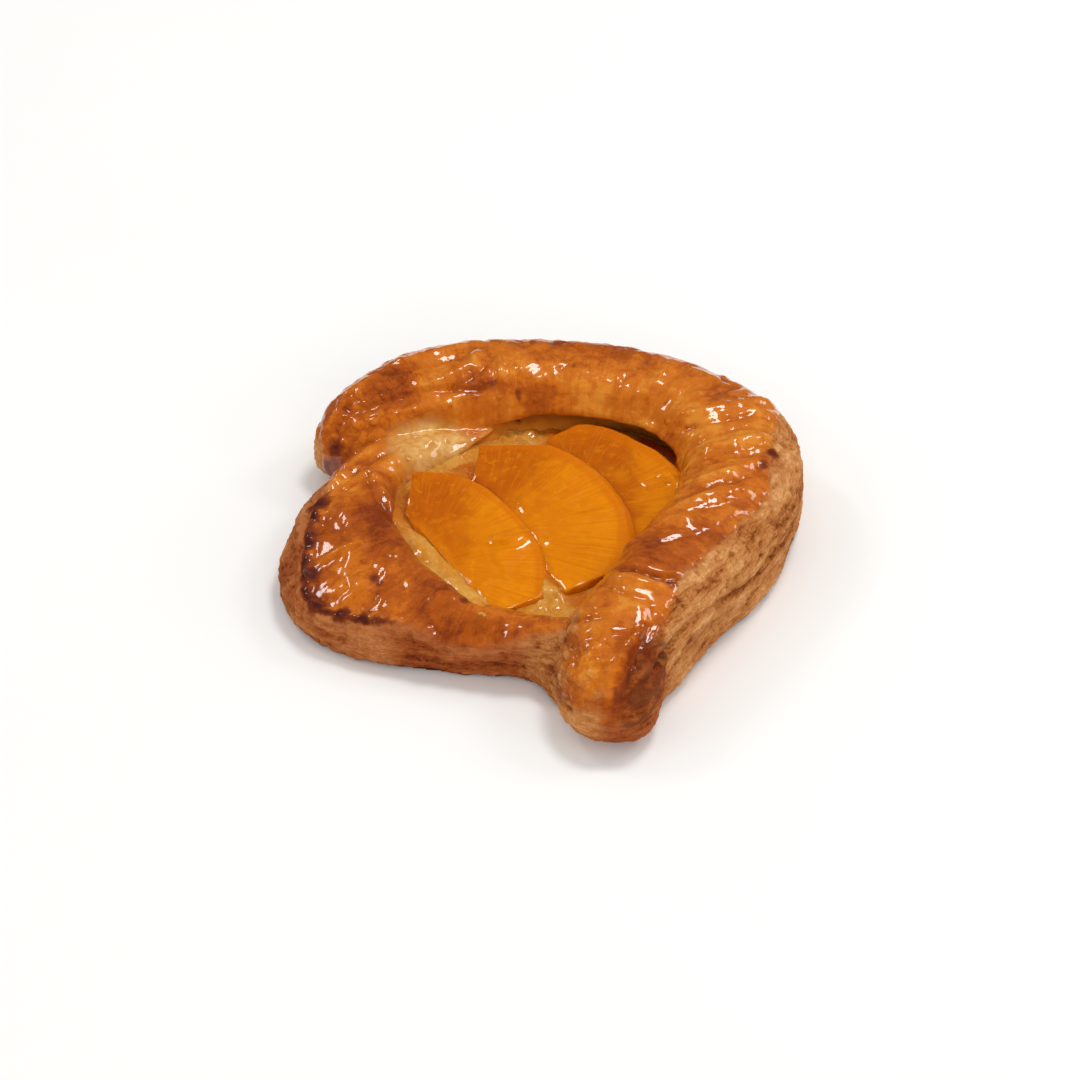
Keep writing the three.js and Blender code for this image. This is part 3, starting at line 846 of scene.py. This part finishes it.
def baked_crust(drops):
    """Golden crust under glaze, paler cut leaves, and scorched edges."""
    material, tree, shader = new_material("baked_crust")
    w = Wiring(tree)
    place = w.place()
    patches = w.noise(place, 0.085, 3, 0.55, 0.5)
    mottle = w.noise(place, 0.42, 4, 0.6, 0.4)
    specks = w.noise(place, 1.9, 3, 0.6)
    glazed = w.kept("glazed")
    pale = w.kept("pale")
    shaded = w.kept("shaded")
    scorched = w.kept("scorched")
    leaf = w.kept("leaf")
    hollow = w.kept("hollow")
    rolled = w.kept("rolled")
    fold = w.kept("place", "Vector")

    stretch = w.node("ShaderNodeMapping")
    w.feed(stretch.inputs["Vector"], fold)
    stretch.inputs["Scale"].default_value = (0.75, 0.10, 0.06)
    streaks = w.noise(stretch.outputs[0], 1.0, 4, 0.65, 0.6)

    # Small blisters have darker rings.
    rings = w.node("ShaderNodeTexVoronoi", feature="DISTANCE_TO_EDGE")
    w.feed(rings.inputs["Vector"], w.bent(place, 0.5, 1.2))
    rings.inputs["Scale"].default_value = 0.42
    cells = w.between(rings.outputs["Distance"], 0.0, 0.16, 0.20, -0.03)

    # How far the top has browned: wide tones, then patches, mottling and streaks; it is also made darker in its
    # hollows.
    bake = w.maths("MULTIPLY_ADD", patches, 2.1, -1.05)
    bake = w.maths("MULTIPLY_ADD", mottle, 1.5, w.maths("ADD", bake, -0.75))
    bake = w.maths("MULTIPLY_ADD", streaks, 1.0, w.maths("ADD", bake, -0.50))
    bake = w.maths("MULTIPLY_ADD", specks, 0.7, w.maths("ADD", bake, -0.35))
    bake = w.maths("MULTIPLY_ADD", hollow, 0.5, w.maths("ADD", bake, -0.25))
    bake = w.maths("MULTIPLY_ADD", rolled, 0.6, bake)
    bake = w.maths("MULTIPLY_ADD", cells, w.kept("blistered"), bake)
    bake = w.maths("ADD", bake, w.kept("tone"))
    glaze = w.blend(w.between(bake, -0.80, -0.20), linear(218, 134, 38), linear(200, 106, 14))
    glaze = w.blend(w.between(bake, -0.20, 0.35), glaze, linear(172, 80, 2))
    glaze = w.blend(w.between(bake, 0.30, 1.05), glaze, linear(130, 48, 0))

    stack = w.node("ShaderNodeMapping")
    w.feed(stack.inputs["Vector"], place)
    stack.inputs["Scale"].default_value = (0.22, 0.22, 1.5)
    lines = w.noise(stack.outputs[0], 1.0, 4, 0.7, 0.8)
    crumb = w.noise(place, 1.3, 5, 0.75, 0.3)
    wall_bake = w.maths("MULTIPLY_ADD", lines, 1.4, w.maths("MULTIPLY", crumb, 1.0))
    wall_bake = w.maths("MULTIPLY_ADD", patches, 0.6, wall_bake)
    # The walls are made darker in their hollows and pits.
    wall_bake = w.maths("MULTIPLY_ADD", hollow, 0.5, wall_bake)
    wall_bake = w.maths("MULTIPLY_ADD", leaf, -0.3, wall_bake)
    wall = w.blend(w.between(wall_bake, 1.26, 1.52), linear(226, 166, 106), linear(204, 138, 78))
    wall = w.blend(w.between(wall_bake, 1.54, 1.80), wall, linear(184, 112, 54))
    wall = w.blend(w.between(wall_bake, 1.76, 2.10), wall, linear(130, 64, 24))
    wall = w.blend(w.between(w.kept("tone"), 0.0, 0.7, 0.0, 0.80), wall, linear(206, 146, 112), "MULTIPLY")
    wall = w.blend(w.between(rolled, 0.0, 1.0, 0.0, 0.75), wall, linear(98, 42, 16))

    soft = w.blend(w.between(mottle, 0.35, 0.65), linear(204, 142, 60), linear(226, 178, 106))
    soft = w.blend(w.between(patches, 0.4, 0.6, 0.4, 0.0), soft, linear(190, 118, 36))
    soft = w.blend(w.between(shaded, 0.1, 0.9, 0.0, 0.85), soft, linear(206, 118, 18))

    colour = w.blend(glazed, wall, glaze)
    colour = w.blend(pale, colour, soft)
    burn = w.maths("ADD", scorched, w.between(mottle, 0.3, 0.7, -0.10, 0.10))
    burn = w.maths("MULTIPLY", burn, w.between(scorched, 0.02, 0.15))
    colour = w.blend(w.between(burn, 0.05, 0.45), colour, linear(122, 48, 12))
    colour = w.blend(w.between(burn, 0.40, 0.75), colour, linear(78, 26, 16))
    colour = w.blend(w.between(burn, 0.70, 1.05), colour, linear(38, 12, 10))
    w.feed(shader.inputs["Base Color"], colour)

    w.feed(shader.inputs["Roughness"], w.between(glazed, 0.2, 0.8, 0.8, 0.5))
    shader.inputs["Specular IOR Level"].default_value = 0.12
    shader.inputs["Subsurface Weight"].default_value = 0.08
    shader.inputs["Subsurface Radius"].default_value = (1.0, 0.35, 0.1)
    shader.inputs["Subsurface Scale"].default_value = 1.2 * MM
    coat = w.maths("MULTIPLY", w.between(glazed, 0.2, 0.9), w.between(shaded, 0.2, 0.9, 1.0, 0.3))
    coat = w.maths("MULTIPLY", coat, w.between(mottle, 0.30, 0.45, 0.75, 1.0))
    coat = w.maths("MULTIPLY", coat, w.between(pale, 0.2, 0.9, 1.0, 0.7))
    w.feed(shader.inputs["Coat Weight"], coat)
    shader.inputs["Coat Roughness"].default_value = 0.08
    shader.inputs["Coat IOR"].default_value = 1.5

    height = w.maths("MULTIPLY", specks, w.between(glazed, 0.2, 0.8, 0.9, 0.14))
    height = w.maths("MULTIPLY_ADD", crumb, w.between(glazed, 0.2, 0.8, 1.8, 0.0), height)
    height = w.maths("MULTIPLY_ADD", lines, w.between(glazed, 0.2, 0.8, 1.4, 0.0), height)
    height = w.maths("MULTIPLY_ADD", streaks, w.between(glazed, 0.2, 0.8, 0.0, 0.35), height)
    drop = w.node("ShaderNodeGroup", node_tree=drops).outputs["Drops"]
    height = w.maths("MULTIPLY_ADD", drop, w.between(glazed, 0.5, 0.9, 0.0, 1.2), height)
    w.feed(shader.inputs["Normal"], w.bump(height, 0.6, 0.6 * MM))
    return material


def peach_flesh(drops):
    """Syrup-soaked flesh: fine strands from the stone to the skin, deeper orange at the rim."""
    material, tree, shader = new_material("peach_flesh")
    w = Wiring(tree)
    place = w.place()
    cut_face = w.kept("cut_face")
    strands = w.noise(w.kept("fibre", "Vector"), 1.0, 3, 0.55, 0.2)
    cloud = w.noise(place, 0.14, 2, 0.5, 0.3)
    # The painted glow and shade of the slice, wobbled by a random tone.
    glow_and_shade = w.maths("ADD", w.kept("glow_and_shade"), w.between(cloud, 0.3, 0.7, -0.15, 0.15))
    colour = w.blend(w.between(glow_and_shade, 0.0, 0.50), linear(184, 88, 0), linear(216, 122, 0))
    colour = w.blend(w.between(glow_and_shade, 0.45, 1.0), colour, linear(226, 132, 0))
    colour = w.blend(w.between(strands, 0.30, 0.55, 0.40, 0.0), colour, linear(190, 92, 0))
    colour = w.blend(w.between(strands, 0.52, 0.78, 0.0, 0.38), colour, linear(234, 154, 6))
    rim = w.kept("rim")
    spots = w.noise(place, 0.55, 3, 0.6, 0.5)
    colour = w.blend(w.between(spots, 0.52, 0.74, 0.0, 0.12), colour, linear(176, 80, 0))
    colour = w.blend(w.between(spots, 0.48, 0.28, 0.0, 0.30), colour, linear(236, 156, 8))
    colour = w.blend(w.maths("MULTIPLY", rim, 0.55), colour, linear(204, 104, 0))
    colour = w.blend(w.between(cut_face, 0.1, 0.9, 0.45, 0.0), colour, linear(204, 106, 0))
    w.feed(shader.inputs["Base Color"], colour)
    shader.inputs["Roughness"].default_value = 0.4
    shader.inputs["Specular IOR Level"].default_value = 0.03
    shader.inputs["Subsurface Weight"].default_value = 0.30
    shader.inputs["Subsurface Radius"].default_value = (1.0, 0.45, 0.05)
    shader.inputs["Subsurface Scale"].default_value = 2.5 * MM
    w.feed(shader.inputs["Coat Weight"], w.between(cloud, 0.2, 0.5, 0.85, 1.0))
    shader.inputs["Coat Roughness"].default_value = 0.04
    ripples = w.noise(place, 0.16, 1, 0.5, 0.8)
    drop = w.node("ShaderNodeGroup", node_tree=drops).outputs["Drops"]
    height = w.maths("MULTIPLY", strands, w.between(cut_face, 0.0, 1.0, 0.02, 0.06))
    height = w.maths("MULTIPLY_ADD", ripples, 4.2, height)
    height = w.maths("MULTIPLY_ADD", spots, w.between(rim, 0.0, 1.0, 0.20, 0.60), height)
    height = w.maths("MULTIPLY_ADD", w.between(rim, 0.2, 0.8), -0.35, height)
    height = w.maths("MULTIPLY_ADD", drop, 0.5, height)
    w.feed(shader.inputs["Normal"], w.bump(height, 0.5, 0.6 * MM))
    return material


def set_custard():
    """Pale custard under clear glaze, which turns amber where it pools against the fruit; amber and dark brown
    also paint shade under the back lip and in the right end.
    """
    material, tree, shader = new_material("set_custard")
    w = Wiring(tree)
    place = w.place()
    amber = w.kept("amber")
    pool_and_shade = w.kept("pool_and_shade")
    cloud = w.noise(place, 0.14, 3, 0.5, 0.5)
    fine = w.noise(place, 0.9, 3, 0.6, 0.3)
    colour = w.blend(w.between(cloud, 0.35, 0.65), linear(206, 130, 30), linear(218, 156, 62))
    colour = w.blend(w.between(fine, 0.45, 0.75, 0.0, 0.45), colour, linear(226, 176, 104))
    tint = w.maths("ADD", amber, w.between(cloud, 0.3, 0.7, -0.15, 0.15))
    # The amber of the glaze beside the fruit, and painted shade under the back lip.
    colour = w.blend(w.between(tint, 0.15, 0.95), colour, linear(198, 106, 4))
    # Dark brown: painted shade, and the thick glaze of the right end, which is partly painted shade too.
    colour = w.blend(w.between(pool_and_shade, 0.1, 0.9), colour, linear(138, 44, 0))
    w.feed(shader.inputs["Base Color"], colour)
    shader.inputs["Roughness"].default_value = 0.45
    shader.inputs["Specular IOR Level"].default_value = 0.15
    shader.inputs["Subsurface Weight"].default_value = 0.3
    shader.inputs["Subsurface Radius"].default_value = (1.0, 0.5, 0.15)
    shader.inputs["Subsurface Scale"].default_value = 2.0 * MM
    w.feed(shader.inputs["Coat Weight"], w.between(fine, 0.2, 0.5, 0.9, 1.0))
    shader.inputs["Coat Roughness"].default_value = 0.06
    ripples = w.noise(place, 0.35, 2, 0.5, 0.6)
    height = w.maths("MULTIPLY_ADD", ripples, 3.6, w.maths("MULTIPLY", fine, 0.30))
    w.feed(shader.inputs["Normal"], w.bump(height, 0.5, 0.6 * MM))
    return material


def pale_table():
    material, tree, shader = new_material("pale_table")
    w = Wiring(tree)
    soft = w.noise(w.place(), 0.01, 2)
    w.feed(shader.inputs["Base Color"], w.blend(soft, (0.88, 0.88, 0.87, 1), (0.92, 0.92, 0.91, 1)))
    shader.inputs["Roughness"].default_value = 0.85
    shader.inputs["Specular IOR Level"].default_value = 0.1
    return material


def dress(piece, material, node):
    piece.data.materials.clear()
    piece.data.materials.append(material)
    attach(piece, "root")
    if node:
        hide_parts(node)


# ---- the studio ----

def aim(thing, target):
    thing.rotation_euler = (Vector(target) - thing.location).to_track_quat("-Z", "Y").to_euler()


def soft_light(name, place, target, width, height, power, glossy=True):
    light = bpy.data.lights.new(name, "AREA")
    light.shape = "RECTANGLE"
    light.size = width
    light.size_y = height
    light.energy = power
    thing = bpy.data.objects.new(name, light)
    bpy.context.scene.collection.objects.link(thing)
    thing.location = place
    aim(thing, target)
    thing.visible_glossy = glossy
    return thing


def make_studio():
    scene = bpy.context.scene
    world = bpy.data.worlds.new("soft_room")
    scene.world = world
    world.use_nodes = True
    w = Wiring(world.node_tree)
    background = world.node_tree.nodes["Background"]
    path = w.node("ShaderNodeLightPath")
    level = w.between(path.outputs["Is Glossy Ray"], 0.0, 1.0, 0.60, 0.04)
    w.feed(background.inputs["Strength"], level)
    background.inputs["Color"].default_value = (1.0, 0.985, 0.96, 1)

    soft_light("window_panel", (0.23, 0.25, 0.86), (0, 0, 0.01), 0.24, 0.22, 2.7)
    soft_light("side_window", (1.0, 0.45, 0.90), (0, 0, 0.01), 0.36, 0.30, 2.2)
    soft_light("far_window", (-0.62, 0.42, 0.75), (0, 0, 0.01), 0.17, 0.14, 0.9)
    soft_light("left_panel", (-0.75, -0.35, 0.55), (0, 0, 0.01), 0.5, 0.5, 0.7, glossy=False)
    soft_light("front_panel", (0.1, -0.9, 0.40), (0, 0, 0.01), 0.6, 0.4, 2.0, glossy=False)
    soft_light("right_panel", (0.85, -0.40, 0.35), (0, 0, 0.01), 0.4, 0.4, 0.8, glossy=False)

    deselect()
    bpy.ops.mesh.primitive_plane_add(size=3.0, location=(0, 0, 0))
    floor = bpy.context.object
    floor.name = "table"
    floor.data.materials.append(pale_table())

    lens = bpy.data.cameras.new("camera")
    lens.lens = 95.47
    lens.sensor_width = 36
    lens.clip_start = 0.01
    camera = bpy.data.objects.new("camera", lens)
    scene.collection.objects.link(camera)
    target = Vector((-0.998, -4.134, 12)) * MM
    lift = math.radians(38)
    camera.location = target + 620 * MM * Vector((0, -math.cos(lift), math.sin(lift)))
    aim(camera, target)
    scene.camera = camera
    scene.view_settings.view_transform = "Standard"


# ---- putting it together ----

def tint_filling(piece):
    """Marks the glaze's amber beside the fruit, and painted shade under the back lip, beside the middle slice's
    lower end and in the right end, where the glaze also lies thick.
    """
    points, _ = read_mesh(piece.data)
    plan = points[:, :2]
    amber = 0.25 + 0.2 * rough(points / 5, 71)
    first = PEACHES[0]
    across, along = slice_place(plan, first["at"], first["half"], first["heading"])
    amber += 0.55 * smoothstep(0.1, 0.7, -along) * (across < 2) - 0.35 * smoothstep(0.6, 0.0, -along)
    for fruit in PEACHES[1:]:
        across, along = slice_place(plan, fruit["at"], fruit["half"], fruit["heading"])
        amber += 0.8 * np.exp(-((across + 1.0) / 3.5) ** 2) * (np.abs(along) < 1)
    x, y = plan.T
    amber += 0.7 * np.exp(-(((x - 4) / 8) ** 2 + ((y + 18) / 8) ** 2))
    amber -= 0.6 * np.exp(-(((x - 1) / 3.5) ** 2 + ((y + 24) / 3.5) ** 2))
    # Painted shade: the glaze is painted amber under the back lip.
    amber += 0.8 * smoothstep(30, 37, y) * smoothstep(-4, 6, x)
    store(piece.data, "amber", np.clip(amber, 0, 1))
    # Painted shade under the back lip and beside the middle slice's lower end; the right end is darker where
    # the glaze lies thick, and partly as painted shade.
    shade = 0.35 * smoothstep(33, 38, y) + 0.4 * np.exp(-(((x - 6) / 4) ** 2 + ((y + 19) / 4) ** 2))
    right_pool_and_shade = smoothstep(18, 24, x) * smoothstep(4, 12, y)
    store(piece.data, "pool_and_shade", np.maximum(right_pool_and_shade, shade))


drops = glaze_drops()
crust = baked_crust(drops)
flesh = peach_flesh(drops)
filling = set_custard()

dress(make_dough(), crust, "pastry")
bed = make_bed("custard_bed", CUSTARD_OUTLINE, 0.5, 5.6, custard_surface)
tint_filling(bed)
dress(bed, filling, "custard")
for fruit in PEACHES:
    node = fruit["name"]
    piece = make_peach(**{**fruit, "name": node.replace("peach_slice", "peach")})
    dress(piece, flesh, node)

make_studio()
